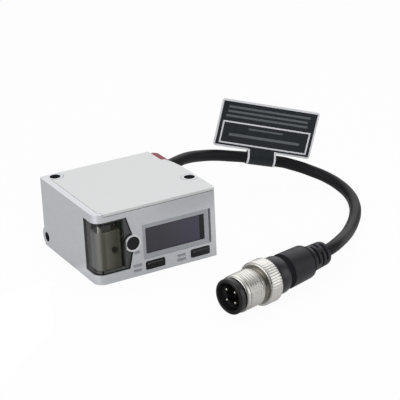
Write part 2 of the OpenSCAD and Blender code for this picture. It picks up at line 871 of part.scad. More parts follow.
module board_screws() {
    cross_w = 0.3;
    color(nickel)
        at_pillars(main_z0 + board_t) {
            translate([0, 0, -screw_l]) cylinder(r = screw_r, h = screw_l + slack);
            difference() {
                cylinder(r = screw_head_r, h = screw_head_h);
                for (turn = [0, 90])
                    rotate([0, 0, turn])
                        translate([-1, -cross_w / 2, screw_head_h - cross_w]) cube([2, cross_w, 1]);
            }
        }
}

// Line from the inside of an optical bore towards the optical window
module along_view(x, y) {
    translate([x, y, optic_z]) rotate([-90, 0, 0]) children();
}

module optical_block() {
    lens_at = block_d - lens_edge - 1.6;
    color(moulded_black)
        difference() {
            union() {
                block([block_x0, block_y0, block_z0], [block_x1, block_y1, block_z1]);
                for (x = [block_x0, block_x1 - leg_w])
                    block([x, block_y0, floor_t], [x + leg_w, block_y0 + leg_w, block_z0 + 1]);
            }
            along_view(emit_x, block_y0 - 1) cylinder(r = emit_r - 0.5, h = block_d + 2);
            along_view(emit_x, block_y0 - 1) cylinder(r = diode_flange_r + fit, h = diode_flange_t + 1 + fit);
            along_view(emit_x, block_y1 - collimator_in) cylinder(r = emit_r + fit, h = collimator_in + 1);
            along_view(receive_x, block_y0 - 1) cylinder(r = receive_r - 0.8, h = block_d + 2);
            along_view(receive_x, block_y0 + lens_at) cylinder(r = receive_r + fit, h = block_d);
        }
}

module laser_diode() {
    color(nickel) {
        along_view(emit_x, block_y0) cylinder(r = diode_flange_r, h = diode_flange_t);
        along_view(emit_x, block_y0 + diode_flange_t - slack) cylinder(r = diode_can_r, h = diode_can_l);
        for (turn = [90, 210, 330])
            along_view(emit_x, block_y0 - diode_pin_l) rotate([0, 0, turn]) translate([1, 0, 0])
                cylinder(r = diode_pin_r, h = diode_pin_l + slack);
    }
}

// Lens that is flat inside and domed outside
module lens(r, edge, curve) {
    dome = curve - sqrt(curve * curve - r * r);
    intersection() {
        cylinder(r = r, h = edge + dome);
        translate([0, 0, edge + dome - curve]) sphere(curve);
    }
}

module collimator_lens() {
    color("#C8D4DC", 0.7)
        along_view(emit_x, block_y1 - collimator_in + fit) lens(emit_r, collimator_t, 6);
}

module receiver_lens() {
    color("#C8D4DC", 0.7)
        along_view(receive_x, block_y1 - lens_edge - 1.6 + fit) lens(receive_r, lens_edge, lens_curve);
}

module receiver_board() {
    color(board_green)
        block([receive_x - receive_r, block_y0 - board_t - fit, block_z0],
            [receive_x + receive_r - 1, block_y0 - fit, block_z1 - 0.5]);
}

module receiver_chip() {
    color("#1E1F22")
        block([receive_x - 2.5, block_y0 - fit, optic_z - 2], [receive_x + 2.5, block_y0 + 1, optic_z + 2]);
}

module optical_window() {
    color(deep_red, 0.8)
        front_slab(window_x0, window_z0, window_w, window_h, rear - window_t, rear, window_r);
}

module window_seal() {
    color(moulded_black)
        difference() {
            front_slab(window_x0, window_z0, window_w, window_h, rear - window_t - window_seal_t,
                rear - window_t, window_r);
            front_slab(window_x0 + window_seal_w, window_z0 + window_seal_w, window_w - 2 * window_seal_w,
                window_h - 2 * window_seal_w, rear - 3, rear, 0.8);
        }
}

module cable_outlet() {
    color(deep_red)
        difference() {
            union() {
                translate([0, 0, shelf_z])
                    linear_extrude(outlet_h) difference() {
                        translate([outlet_x + fit, outlet_y + fit]) square([outlet_w - fit, outlet_d - fit]);
                        corner_waste([outlet_x + fit, outlet_y + fit], [1, 1], pocket_r + 2 * fit);
                        corner_waste([right, rear], [-1, -1], outlet_r);
                        corner_waste([right, outlet_y + fit], [-1, 1], outlet_edge_r);
                    }
                intersection() {
                    along_exit() translate([0, 0, -outlet_w - tongue_l])
                        cylinder(r = tongue_r, h = outlet_w + tongue_l);
                    block([left, face, 0], [right - 1, rear, outlet_top]);
                }
            }
            along_exit() translate([0, 0, -outlet_w - tongue_l - 2]) cylinder(r = cable_r + cable_gap, h = 20);
        }
}

// Direction from one point to another, one long
function way(a, b) = (b - a) / norm(b - a);
// Heading of the route at a point, from its neighbours
function heading(path, i) = way(path[max(i - 1, 0)], path[min(i + 1, len(path) - 1)]);
// Points of one ring round the route, level with the floor
function ring_points(at, along, r, n) =
    let (side = way([0, 0, 0], cross([0, 0, 1], along)), up = cross(along, side))
        [for (k = [0:n - 1]) at + r * (side * cos((k + 0.5) * 360 / n) + up * sin((k + 0.5) * 360 / n))];

// Tube swept along a list of points, with flat ends
module swept_tube(path, r, n) {
    rings = len(path);
    points = [for (i = [0:rings - 1], p = ring_points(path[i], heading(path, i), r, n)) p];
    sides = [for (i = [0:rings - 2], k = [0:n - 1])
        [i * n + k, (i + 1) * n + k, (i + 1) * n + (k + 1) % n, i * n + (k + 1) % n]];
    start = [[for (k = [0:n - 1]) k]];
    end = [[for (k = [n - 1:-1:0]) (rings - 1) * n + k]];
    polyhedron(points, concat(sides, start, end));
}

module cable() {
    color(moulded_black) swept_tube(cable_route, cable_r, cable_sides);
}

module flag_label() {
    inner = cable_r + wrap_gap;
    color("#33383B")
        translate(flag_at) rotate([0, flag_dip, flag_turn]) {
            rotate([0, 90, 0]) difference() {
                translate([0, 0, -wrap_l / 2]) cylinder(r = inner + wrap_t, h = wrap_l);
                translate([0, 0, -wrap_l]) cylinder(r = inner, h = 2 * wrap_l);
            }
            block([-wrap_l / 2, -flag_t / 2, inner + wrap_t / 2], [wrap_l / 2, flag_t / 2, flag_up + flag_t]);
            translate([0, 0, flag_up]) rotate([0, flag_skew, 0])
                translate([flag_shift - flag_l / 2, flag_t / 2, 0]) rotate([90, 0, 0])
                    linear_extrude(flag_t) round_rect(flag_l, flag_h, flag_r);
        }
}

// Axis of the plug, from the front of its collar to its tail
module along_plug(at = 0) {
    translate(plug_at) rotate([0, 0, plug_turn]) rotate([0, 90, 0]) translate([0, 0, at]) children();
}

// Turned profile from its inner radius, given as radius and station pairs
module turned(profile) {
    along_plug() rotate_extrude() polygon(profile);
}

module coupling_nut() {
    bore = insert_r + nut_gap;
    end = knurl_at + knurl_l;
    edge = 0.3;
    color(nickel) difference() {
        turned([[bore, thread_at + fit], [thread_r - thread_lead, thread_at + fit],
            [thread_r, thread_at + fit + thread_lead], [thread_r, neck_at - edge], [thread_r - edge, neck_at],
            [neck_r, neck_at], [neck_r, knurl_at], [knurl_r - knurl_front, knurl_at],
            [knurl_r, knurl_at + knurl_front], [knurl_r, end - knurl_rear], [knurl_r - knurl_rear, end],
            [bore, end]]);
        along_plug(knurl_at - slack) linear_extrude(knurl_l + 2 * slack)
            for (k = [0:knurl_n - 1])
                rotate([0, 0, (k + 0.5) * 360 / knurl_n]) translate([knurl_r - knurl_deep, 0])
                    rotate([0, 0, -45]) square(1);
    }
}

// Places of the four contact pins
module pin_places() {
    for (turn = [45:90:315])
        rotate([0, 0, turn]) translate([pin_ring_r, 0, 0]) children();
}

module pin_carrier() {
    mouth = collar_r - collar_wall;
    inside = insert_r - insert_wall;
    groove_at = thread_at - collar_groove_w;
    color(moulded_black)
        difference() {
            turned([[0, cavity_l], [inside, cavity_l], [inside, thread_at + 0.4],
                [mouth, thread_at - 0.4], [mouth + 0.2, 0], [collar_r - 0.4, 0], [collar_r, 0.4],
                [collar_r, groove_at], [collar_r - collar_groove_in, groove_at],
                [collar_r - collar_groove_in, thread_at], [insert_r, thread_at], [insert_r, carrier_l],
                [0, carrier_l]]);
            along_plug() pin_places() cylinder(r = pin_r + fit, h = cavity_l + 6 + fit);
        }
}

module contact_pins() {
    color("#C9A24B")
        along_plug(pin_front) pin_places() {
            translate([0, 0, pin_r]) cylinder(r = pin_r, h = cavity_l + 6 - pin_front - pin_r);
            sphere_tip();
        }
}

// Round nose of a pin
module sphere_tip() {
    translate([0, 0, pin_r]) sphere(pin_r);
}

module plug_body() {
    seat = insert_r + fit;
    color(moulded_black)
        difference() {
            turned([[0, grip_at], [grip_r - 0.5, grip_at], [grip_r, grip_at + 0.5],
                [grip_r, barrel_at - grip_slope], [barrel_r - waist, barrel_at - waist],
                [barrel_r - waist, barrel_at], [barrel_r, barrel_at + waist], [barrel_end_r, relief_at - 1.2],
                [barrel_end_r - 0.35, relief_at - 0.4], [barrel_end_r - 1, relief_at], [relief_r, relief_at],
                [relief_end_r, plug_l - 0.6], [relief_end_r - 0.6, plug_l], [0, plug_l]]);
            along_plug(grip_at - 1) cylinder(r = seat, h = socket_l + 1);
            along_plug(plug_l - cable_bore_l) cylinder(r = cable_r + cable_gap, h = cable_bore_l + 1);
            for (k = [0:slot_n - 1])
                along_plug(relief_at + slot_first + k * slot_pitch)
                    rotate([0, 0, slot_turn + slot_step * (k % 2)]) slot_ring();
        }
}

// Three slots round the cable, with bridges between them
module slot_ring() {
    difference() {
        cylinder(r = relief_r + 1, h = slot_w);
        translate([0, 0, -1]) cylinder(r = slot_floor, h = slot_w + 2);
        for (turn = [0:120:240])
            rotate([0, 0, turn]) translate([0, -bridge_w / 2, -1]) cube([relief_r + 2, bridge_w, slot_w + 2]);
    }
}

housing();
side_cover();
cover_seal();
indicator_cover();
light_guide();
indicator_board();
indicator_leds();
display_bezel();
display_glass();
display_panel();
panel_board();
key_switches();
round_button();
key(left_key_x);  // left_key
key(right_key_x);  // right_key
main_board();
main_chips();
board_screws();
optical_block();
laser_diode();
collimator_lens();
receiver_lens();
receiver_board();
receiver_chip();
optical_window();
window_seal();
cable_outlet();
cable();
flag_label();
plug_body();
coupling_nut();
pin_carrier();
contact_pins();
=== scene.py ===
# Laser sensor with its pigtail cable, flag label and round plug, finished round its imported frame.
import json
import math
import bpy
from mathutils import Matrix, Vector

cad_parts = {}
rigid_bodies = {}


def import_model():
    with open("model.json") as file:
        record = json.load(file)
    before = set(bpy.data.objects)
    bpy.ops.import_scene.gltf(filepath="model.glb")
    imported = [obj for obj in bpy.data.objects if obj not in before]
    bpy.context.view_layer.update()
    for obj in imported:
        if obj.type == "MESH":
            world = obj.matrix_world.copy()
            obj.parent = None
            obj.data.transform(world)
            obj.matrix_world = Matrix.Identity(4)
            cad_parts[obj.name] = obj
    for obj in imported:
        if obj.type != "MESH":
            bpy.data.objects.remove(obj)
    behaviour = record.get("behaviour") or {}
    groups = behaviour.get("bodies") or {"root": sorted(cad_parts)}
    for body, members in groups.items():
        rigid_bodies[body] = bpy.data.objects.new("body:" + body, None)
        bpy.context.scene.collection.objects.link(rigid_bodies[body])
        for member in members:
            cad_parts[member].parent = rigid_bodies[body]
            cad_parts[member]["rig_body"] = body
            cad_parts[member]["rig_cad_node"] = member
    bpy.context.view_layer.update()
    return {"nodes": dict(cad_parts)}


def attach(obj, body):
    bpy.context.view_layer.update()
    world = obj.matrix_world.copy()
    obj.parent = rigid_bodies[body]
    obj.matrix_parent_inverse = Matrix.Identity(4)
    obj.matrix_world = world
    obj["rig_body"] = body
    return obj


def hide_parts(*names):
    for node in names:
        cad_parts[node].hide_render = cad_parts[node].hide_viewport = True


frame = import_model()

MM = 0.001
SENSOR = "sensor"


# Camera: a long lens from the left front and above, as the photograph was taken, a little rolled.
camera_place = (-230.14, -484.68, 238.88)
camera_turn = (67.456, 2.463, -29.001)
bpy.ops.object.camera_add(
    location=[v * MM for v in camera_place],
    rotation=[math.radians(v) for v in camera_turn],
)
camera = bpy.context.active_object
camera.data.sensor_width = 36
camera.data.lens = 157.5
camera.data.clip_start = 0.02
bpy.context.scene.camera = camera


# Pigtail cable: a black satin polyurethane jacket of 4.1 mm, extruded over its cores. It leaves the
# outlet block, sinks to the surface, turns back in one loose loop and rises into the plug.
def to_linear(hex_colour):
    """sRGB hex to the linear red, green, blue and alpha that a shader takes."""
    parts = [int(hex_colour[i:i + 2], 16) / 255 for i in (1, 3, 5)]
    linear = [p / 12.92 if p <= 0.04045 else ((p + 0.055) / 1.055) ** 2.4 for p in parts]
    return (*linear, 1.0)


def add_node(owner, kind, settings=None, links=None):
    """Adds a shader node, sets its sockets and properties by name, and links sources into it."""
    node = owner.node_tree.nodes.new(kind)
    for name, value in (settings or {}).items():
        if isinstance(name, int) or name in node.inputs:
            node.inputs[name].default_value = value
        else:
            setattr(node, name, value)
    for name, source in (links or {}).items():
        owner.node_tree.links.new(source, node.inputs[name])
    return node


def start_material(name, **settings):
    """A new material, with constants set on its Principled shader's own sockets."""
    material = bpy.data.materials.new(name)
    material.use_nodes = True
    shader = material.node_tree.nodes["Principled BSDF"]
    for socket, value in settings.items():
        socket_name = socket.replace("_", " ").title().replace("Ior", "IOR")
        shader.inputs[socket_name].default_value = value
    return material


def link_shader(material, source, socket):
    """Links a source into a socket of the material's Principled shader."""
    shader = material.node_tree.nodes["Principled BSDF"]
    material.node_tree.links.new(source, shader.inputs[socket])


def place_on(material):
    """The place on the piece that wears the material, in metres."""
    return add_node(material, "ShaderNodeTexCoord").outputs["Object"]


def grained(name, colours, grain_mm, bump, height_mm, **settings):
    """A new material whose fine noise shifts its colour a little and roughens its surface."""
    material = start_material(name, **settings)
    noise = add_node(
        material, "ShaderNodeTexNoise",
        {"Scale": 1 / (grain_mm * MM), "Detail": 3.0, "Roughness": 0.6},
        {"Vector": place_on(material)},
    ).outputs["Fac"]
    ramp = add_node(material, "ShaderNodeValToRGB", None, {"Fac": noise})
    for stop, position, colour in zip(ramp.color_ramp.elements, (0.3, 0.7), colours):
        stop.position = position
        stop.color = to_linear(colour)
    relief = add_node(
        material, "ShaderNodeBump", {"Strength": bump, "Distance": height_mm * MM},
        {"Height": noise},
    )
    link_shader(material, ramp.outputs["Color"], "Base Color")
    link_shader(material, relief.outputs["Normal"], "Normal")
    return material


def dress(piece, *materials):
    """Gives a piece its materials, one for each slot."""
    piece.data.materials.clear()
    for material in materials:
        piece.data.materials.append(material)


# Extruded polyurethane: nearly black, satin, with very faint drawing marks.
jacket = grained(
    "extruded_polyurethane", ("#111113", "#18181B"), 0.5, 0.25, 0.03,
    roughness=0.44, specular_ior_level=0.16,
)

cable_r = 2.05
cable_route = [
    (17.4, 15, 19), (19.5, 15.5, 19), (22, 16.2, 19), (25, 17, 19), (29, 19, 18.8),
    (34.5, 22, 18), (42, 24.7, 16.3), (48, 25.5, 14.9), (54, 25.3, 13.3), (59.6, 24.3, 11.9),
    (69.8, 20.5, 9.3), (75, 16.8, 7.8), (79.4, 12, 6.1), (82.6, 6, 4.6), (83.8, -0.8, 3.3),
    (83, -7.7, 2.4), (80.2, -14.6, 2.1), (76.2, -21.2, 2.1), (71.2, -27.4, 2.1),
    (65.8, -33.2, 2.6), (60.3, -39, 3.9), (55, -44.4, 5.6), (51.4, -47.8, 6.6),
    (47.4, -50.6, 7.1), (43, -52.4, 7.2), (39.1, -53.5, 7.2),
]
wrapped = (9, 10)
bpy.ops.curve.primitive_bezier_curve_add()
cable = bpy.context.active_object
cable.name = "cable_jacket"
cable.location = (0, 0, 0)
spline = cable.data.splines[0]
spline.bezier_points.add(len(cable_route) - len(spline.bezier_points))
for point, place in zip(spline.bezier_points, cable_route):
    point.co = Vector(place) * MM
    point.handle_left_type = point.handle_right_type = "AUTO"
# The label holds the cable straight where it is wrapped, so these two points lie along its axis.
wrap_from, wrap_to = (Vector(cable_route[index]) for index in wrapped)
straight = (wrap_to - wrap_from) * MM / 3
for index in wrapped:
    point = spline.bezier_points[index]
    point.handle_left_type = point.handle_right_type = "ALIGNED"
    point.handle_right = point.co + straight
    point.handle_left = point.co - straight * 0.7
cable.data.resolution_u = 8
cable.data.bevel_depth = cable_r * MM
cable.data.bevel_resolution = 8
cable.data.use_fill_caps = True
dress(cable, jacket)
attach(cable, SENSOR)
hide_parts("cable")


# Plug axis: the plug lies on its knurled ring, so its axis runs level at the knurl's radius. Pieces
# on it are shaped along +Z from the front of the collar and then laid down on this axis.
plug_at = Vector((1.6, -63.9, 7.2))
plug_turn = math.radians(15.5)
plug_lay = (
    Matrix.Translation(plug_at * MM)
    @ Matrix.Rotation(plug_turn, 4, "Z")
    @ Matrix.Rotation(math.radians(90), 4, "Y")
)


def pick(*pieces):
    """Selects these pieces alone and makes the first one active."""
    bpy.ops.object.select_all(action="DESELECT")
    for piece in pieces:
        piece.select_set(True)
    bpy.context.view_layer.objects.active = pieces[0]


def settle():
    """Leaves the place, turn and size of the selected piece in its mesh."""
    bpy.ops.object.transform_apply(location=True, rotation=True, scale=True)


def lay_down(piece, matrix):
    """Moves a finished piece to its place."""
    pick(piece)
    piece.matrix_world = matrix
    settle()


def turn_profile(name, stations, around):
    """A lathe piece: a ring extruded and resized round closed stations (radius, height) in mm."""
    radius, height = stations[0]
    bpy.ops.mesh.primitive_circle_add(
        vertices=around, radius=radius * MM, location=(0, 0, height * MM)
    )
    piece = bpy.context.active_object
    piece.name = name
    settle()
    bpy.ops.object.mode_set(mode="EDIT")
    bpy.ops.mesh.select_all(action="SELECT")
    for next_r, next_z in stations[1:] + stations[:1]:
        bpy.ops.mesh.extrude_region_move(
            TRANSFORM_OT_translate={"value": (0, 0, (next_z - height) * MM)}
        )
        share = next_r / radius
        bpy.ops.transform.resize(value=(share, share, 1), center_override=(0, 0, next_z * MM))
        radius, height = next_r, next_z
    bpy.ops.mesh.select_all(action="SELECT")
    bpy.ops.mesh.remove_doubles(threshold=1e-7)
    bpy.ops.mesh.normals_make_consistent(inside=False)
    bpy.ops.object.mode_set(mode="OBJECT")
    return piece


def smooth(piece, angle):
    """Shades a piece smooth, apart from its edges sharper than an angle in degrees."""
    pick(piece)
    bpy.ops.object.shade_smooth_by_angle(angle=math.radians(angle))


# Coupling nut: turned brass, nickel-plated, with an M12x1 thread, a neck, and a straight knurl that
# runs out on a chamfer. It turns freely on the insert, between the collar and the grip.
# Nickel plate: a warm bright metal with slightly blurred reflections.
nickel = grained(
    "nickel_plate", ("#DAD8D2", "#E6E4DF"), 0.6, 0.12, 0.01, metallic=1.0, roughness=0.27
)
# The neck and the knurl's rear are painted a darker, duller nickel: painted shade where the knurl's
# face and the groove shade them.
nickel_painted_shade = grained(
    "nickel_plate_painted_shade", ("#B0ADA5", "#BCB9B1"), 0.6, 0.12, 0.01, metallic=1.0, roughness=0.34
)

thread_r, root_r, thread_pitch = 6.0, 5.85, 1.0
thread_start, thread_end, run_in, run_out = 4.5, 9.6, 0.4, 0.3
flank_slope = 2.3
steps_a_turn = 8
knurl_r, knurl_deep, knurl_teeth = 7.2, 0.08, 44
points_a_tooth, groove_point, knurl_from_r = 4, 2, 7.1
nut_bore = 4.58
lead_stations = [
    (nut_bore, 2.65), (5.55, 2.65), (5.7, 2.7), (5.95, 2.95), (6.0, 3.05), (6.0, 3.9),
    (5.95, 3.98), (5.5, 4.15), (5.5, 4.4),
]
thread_stations = [
    (root_r, thread_start + k * thread_pitch / steps_a_turn)
    for k in range(int((thread_end - thread_start) * steps_a_turn / thread_pitch) + 1)
]
neck_stations = [
    (5.95, 9.66), (6.0, 9.74), (6.0, 9.86), (5.9, 9.98), (5.75, 10.0), (5.4, 10.02),
    (5.3, 10.12), (5.3, 11.9),
]
knurl_stations = [
    (5.4, 12.0), (6.45, 12.0), (6.7, 12.04), (6.95, 12.15), (7.12, 12.35), (knurl_r, 12.6),
    (knurl_r, 13.9), (knurl_r, 15.3), (knurl_r, 16.65), (7.12, 16.8), (6.5, 17.42), (6.35, 17.5),
    (nut_bore, 17.5),
]
nut = turn_profile(
    "coupling_nut_turned", lead_stations + thread_stations + neck_stations + knurl_stations,
    around=knurl_teeth * points_a_tooth,
)
# The thread is cut by moving each point of its rings in or out with its turn round the axis, and
# the knurl by moving one point of every tooth in.
on_ring = 1e-3
for vertex in nut.data.vertices:
    radius = math.hypot(vertex.co.x, vertex.co.y) / MM
    height = vertex.co.z / MM
    turn = math.atan2(vertex.co.y, vertex.co.x) / (2 * math.pi)
    in_thread = thread_start - on_ring < height < thread_end + on_ring
    if abs(radius - root_r) < on_ring and in_thread:
        phase = (height / thread_pitch - turn) % 1
        crest = max(0.0, 1 - flank_slope * abs(phase - 0.5))
        fade = min(1.0, (height - thread_start) / run_in, (thread_end - height) / run_out)
        share = 1 + (thread_r - root_r) * crest * max(fade, 0) / root_r
        vertex.co.x *= share
        vertex.co.y *= share
    tooth_point = round((turn % 1) * knurl_teeth * points_a_tooth) % points_a_tooth
    if radius > knurl_from_r and tooth_point == groove_point:
        share = 1 - knurl_deep / knurl_r
        vertex.co.x *= share
        vertex.co.y *= share
dress(nut, nickel, nickel_painted_shade)
neck_z0, neck_z1, neck_r = 10.0, 12.01, 6.5
knurl_rear_z0, knurl_rear_z1 = 16.66, 17.49
# Faces in the neck and on the knurl's rear get the painted shade.
for face in nut.data.polygons:
    height = face.center.z / MM
    in_reach = math.hypot(face.center.x, face.center.y) < neck_r * MM
    if (neck_z0 < height < neck_z1 and in_reach) or knurl_rear_z0 < height < knurl_rear_z1:
        face.material_index = 1
lay_down(nut, plug_lay)
smooth(nut, 28)
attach(nut, "nut_body")
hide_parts("coupling_nut")


# Plug body: glass-filled polyamide moulded straight onto the cable, with a grip, a barrel and a
# slotted strain relief. The slots let the tail bend with the cable.
def round_edges(piece, width, segments, sharp):
    """Rounds a piece's edges, where sharper than an angle in degrees, by a width in mm."""
    pick(piece)
    edge = piece.modifiers.new("edge_rounding", "BEVEL")
    edge.width = width * MM
    edge.segments = segments
    edge.limit_method = "ANGLE"
    edge.angle_limit = math.radians(sharp)
    edge.use_clamp_overlap = True
    bpy.ops.object.modifier_apply(modifier=edge.name)


# Black polyamide: a soft broad sheen on a slightly uneven, faintly blue black.
moulded = grained(
    "black_polyamide", ("#16161B", "#1E1E24"), 0.35, 0.35, 0.03,
    roughness=0.42, specular_ior_level=0.3,
)
# The step before the barrel and its rear shoulder get a matt black without sheen, so they look
# almost black: painted shade at the step and the shoulder.
matt_painted_shade = grained(
    "polyamide_painted_shade", ("#19191D", "#212125"), 0.35, 0.4, 0.04,
    roughness=0.9, specular_ior_level=0.03,
)
# Fingers hold the grip when the nut is turned and have polished it, so it mirrors softly.
handled = grained(
    "polished_polyamide_grip", ("#131317", "#1A1A1F"), 0.35, 0.3, 0.02,
    roughness=0.28, specular_ior_level=0.5,
)

plug_stations = [
    (4.55, 17.6), (5.75, 17.6), (6.05, 17.72), (6.2, 18.05), (6.2, 21.2), (6.12, 21.5),
    (5.98, 22.0), (5.5, 23.7), (5.45, 23.9), (5.45, 24.2), (5.52, 24.3), (5.78, 24.36),
    (5.85, 24.6), (5.85, 24.9), (5.6, 33.4), (5.5, 33.85), (5.2, 34.4), (4.85, 34.75),
    (4.5, 34.88), (4.35, 34.95), (4.3, 35.15), (3.98, 42.3), (3.85, 42.75), (3.5, 43.05),
    (3.1, 43.1), (2.12, 43.1), (2.12, 33.0), (4.55, 33.0),
]
plug_body = turn_profile("plug_body_moulded", plug_stations, around=128)
# Each of the three rings has three slots with narrow bridges between them, and the middle ring is
# turned so that its bridges stand between those of the other two.
slot_first, slot_pitch, slot_w, slot_floor, slot_deep = 36.5, 2.0, 0.8, 2.5, 3.0
slot_sides, slot_turn, slot_half = (86, 206, 326), 46, 47.5
cutters = []
for k in range(3):
    for side in slot_sides:
        bpy.ops.mesh.primitive_plane_add(size=1, rotation=(math.radians(90), 0, 0))
        cutter = bpy.context.active_object
        cutter.scale = (slot_deep * MM, slot_w * MM, 1)
        cutter.location = (
            (slot_floor + slot_deep / 2) * MM, 0, (slot_first + slot_w / 2 + k * slot_pitch) * MM
        )
        settle()
        cutter.rotation_euler = (0, 0, math.radians(side + slot_turn * (k % 2) - slot_half))
        settle()
        bpy.ops.object.mode_set(mode="EDIT")
        bpy.ops.mesh.select_all(action="SELECT")
        bpy.ops.mesh.spin(
            steps=14, angle=math.radians(2 * slot_half), center=(0, 0, 0), axis=(0, 0, 1)
        )
        bpy.ops.mesh.select_all(action="SELECT")
        bpy.ops.mesh.normals_make_consistent(inside=False)
        bpy.ops.object.mode_set(mode="OBJECT")
        cutters.append(cutter)
pick(plug_body)
for cutter in cutters:
    cut = plug_body.modifiers.new("slot", "BOOLEAN")
    cut.operation = "DIFFERENCE"
    cut.solver = "EXACT"
    cut.object = cutter
    bpy.ops.object.modifier_apply(modifier=cut.name)
    bpy.data.objects.remove(cutter)
round_edges(plug_body, 0.12, 2, 50)
dress(plug_body, moulded, matt_painted_shade, handled)
step_z0, step_z1, shoulder_z0, shoulder_z1 = 22.0, 24.25, 33.5, 35.0
grip_z0, grip_z1 = 17.0, 21.4
# Faces at the step and the shoulder get the painted shade, and those on the grip get the polished
# plastic.
for face in plug_body.data.polygons:
    height = face.center.z / MM
    if step_z0 < height < step_z1 or shoulder_z0 < height < shoulder_z1:
        face.material_index = 1
    elif grip_z0 < height < grip_z1:
        face.material_index = 2
lay_down(plug_body, plug_lay)
smooth(plug_body, 30)
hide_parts("plug_body")
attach(plug_body, SENSOR)


# Pin carrier: a moulded insert whose collar stands in front of the nut, round the four contacts.
# It is a smoother black than the plug body, so the collar's rounded rim shows as a line of light.
def finished_copy(node, rounding, segments, sharp):
    """A copy of a CAD node, its triangles merged into faces and its edges rounded, in mm."""
    pick(frame["nodes"][node])
    bpy.ops.object.duplicate()
    piece = bpy.context.active_object
    piece.name = node + "_finished"
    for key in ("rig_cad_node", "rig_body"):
        del piece[key]
    bpy.ops.object.mode_set(mode="EDIT")
    bpy.ops.mesh.select_all(action="SELECT")
    bpy.ops.mesh.remove_doubles(threshold=1e-6)
    bpy.ops.mesh.dissolve_limited(angle_limit=math.radians(1.5))
    bpy.ops.object.mode_set(mode="OBJECT")
    round_edges(piece, rounding, segments, sharp)
    smooth(piece, sharp)
    # Large faces keep their own normal, so that only the rounded edges catch the light.
    flat = piece.modifiers.new("flat_faces", "WEIGHTED_NORMAL")
    flat.weight = 100
    flat.keep_sharp = True
    bpy.ops.object.modifier_apply(modifier=flat.name)
    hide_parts(node)
    return piece


insert_black = grained(
    "black_polyamide_insert", ("#121214", "#19191B"), 0.35, 0.2, 0.02,
    roughness=0.3, specular_ior_level=0.5,
)
carrier = finished_copy("pin_carrier", 0.3, 3, 30)
dress(carrier, insert_black)
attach(carrier, SENSOR)


# Contact pins: turned brass, pressed into the insert. The gold on them is so thin that the nickel
# under it shows, so they look a pale warm silver.
gold = grained(
    "thin_gold_on_nickel", ("#D8D2C4", "#E4E0D6"), 0.3, 0.1, 0.01, metallic=1.0, roughness=0.22
)
pins = finished_copy("contact_pins", 0.05, 1, 60)
dress(pins, gold)
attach(pins, SENSOR)


# Flag label: one strip of printed polyester film, wrapped once round the cable and stuck to itself
# above it. The print is a pale border and a pale frame on slate, with plain bars where lines would
# be. The film has a dull gloss, and the print is dry ink.
film = grained(
    "printed_polyester_film", ("#1A1E22", "#202428"), 1.2, 0.15, 0.02,
    roughness=0.36, specular_ior_level=0.28,
)
pale_print = grained("pale_print", ("#BFC0C5", "#CACBD0"), 0.5, 0.05, 0.01, roughness=0.5)
faint_print = grained("faint_print", ("#4E5256", "#585C60"), 0.5, 0.05, 0.01, roughness=0.5)

flag_l, flag_h, flag_up, flag_shift, flag_tilt = 35.9, 17.8, 2.7, -0.2, 1.2
film_t, corner_r = 0.26, 0.9
flag_x0, flag_x1 = flag_shift - flag_l / 2, flag_shift + flag_l / 2
border, line = 0.7, 0.55
frame_x0, frame_x1, frame_z0, frame_z1 = -16.35, 16.1, 1.4, 9.85
bars = [
    (-15.4, 14.7, 14.8, 15.6), (-15.4, 14.1, 13.1, 13.9), (-15.8, 14.4, 11.4, 12.2),
    (-6.6, 6.0, 7.5, 8.1), (-13.3, 12.9, 4.4, 5.4),
]
wrap_half, wrap_r, fold_z, fold_w, fold_deep = 5.2, 2.22, 3.3, 0.1, 0.5
wrap_lay = (
    Matrix.Translation(Vector((64.5, 22.5, 10.65)) * MM)
    @ Matrix.Rotation(math.radians(-20.4), 4, "Z")
    @ Matrix.Rotation(math.radians(13.4), 4, "Y")
)
flag_lay = (
    wrap_lay
    @ Matrix.Translation((0, 0, flag_up * MM))
    @ Matrix.Rotation(math.radians(flag_tilt), 4, "Y")
)


def split_along(piece, cuts):
    """Cuts a mesh across at each (axis, place in mm), so that faces end there."""
    pick(piece)
    bpy.ops.object.mode_set(mode="EDIT")
    for axis, place in cuts:
        normal = [0, 0, 0]
        normal[axis] = 1
        middle = [0, 0, 0]
        middle[axis] = place * MM
        bpy.ops.mesh.select_all(action="SELECT")
        bpy.ops.mesh.bisect(plane_co=middle, plane_no=normal)
    bpy.ops.object.mode_set(mode="OBJECT")


def thicken(piece, thickness):
    """Gives a sheet its thickness in mm, half to each side."""
    pick(piece)
    wall = piece.modifiers.new("film_thickness", "SOLIDIFY")
    wall.thickness = thickness * MM
    wall.offset = 0
    wall.use_even_offset = True
    bpy.ops.object.modifier_apply(modifier=wall.name)


bpy.ops.mesh.primitive_plane_add(size=1, rotation=(math.radians(90), 0, 0))
flag = bpy.context.active_object
flag.name = "flag_label_film"
flag.scale = (flag_l * MM, flag_h * MM, 1)
flag.location = (flag_shift * MM, 0, flag_h / 2 * MM)
settle()
bpy.ops.object.mode_set(mode="EDIT")
bpy.ops.mesh.select_all(action="SELECT")
bpy.ops.mesh.bevel(offset=corner_r * MM, segments=5, affect="VERTICES")
bpy.ops.object.mode_set(mode="OBJECT")
cut_x = [flag_x0 + border, flag_x1 - border, frame_x0, frame_x0 + line, frame_x1 - line, frame_x1]
cut_x += [-wrap_half, wrap_half] + [x for bar in bars for x in bar[:2]]
cut_z = [border, flag_h - border, frame_z0, frame_z0 + line, frame_z1 - line, frame_z1]
cut_z += [z for bar in bars for z in bar[2:]]
split_along(flag, [(0, x) for x in sorted(cut_x)] + [(2, z) for z in sorted(cut_z)])
dress(flag, film, pale_print, faint_print)
for face in flag.data.polygons:
    x, _, z = (v / MM for v in face.center)
    in_border = min(x - flag_x0, flag_x1 - x, z, flag_h - z) < border
    over_neck = z < border and abs(x) < wrap_half - border
    in_frame = min(x - frame_x0, frame_x1 - x, z - frame_z0, frame_z1 - z)
    if (in_border and not over_neck) or 0 < in_frame < line:
        face.material_index = 1
    elif any(x0 < x < x1 and z0 < z < z1 for x0, x1, z0, z1 in bars):
        face.material_index = 2
thicken(flag, film_t)

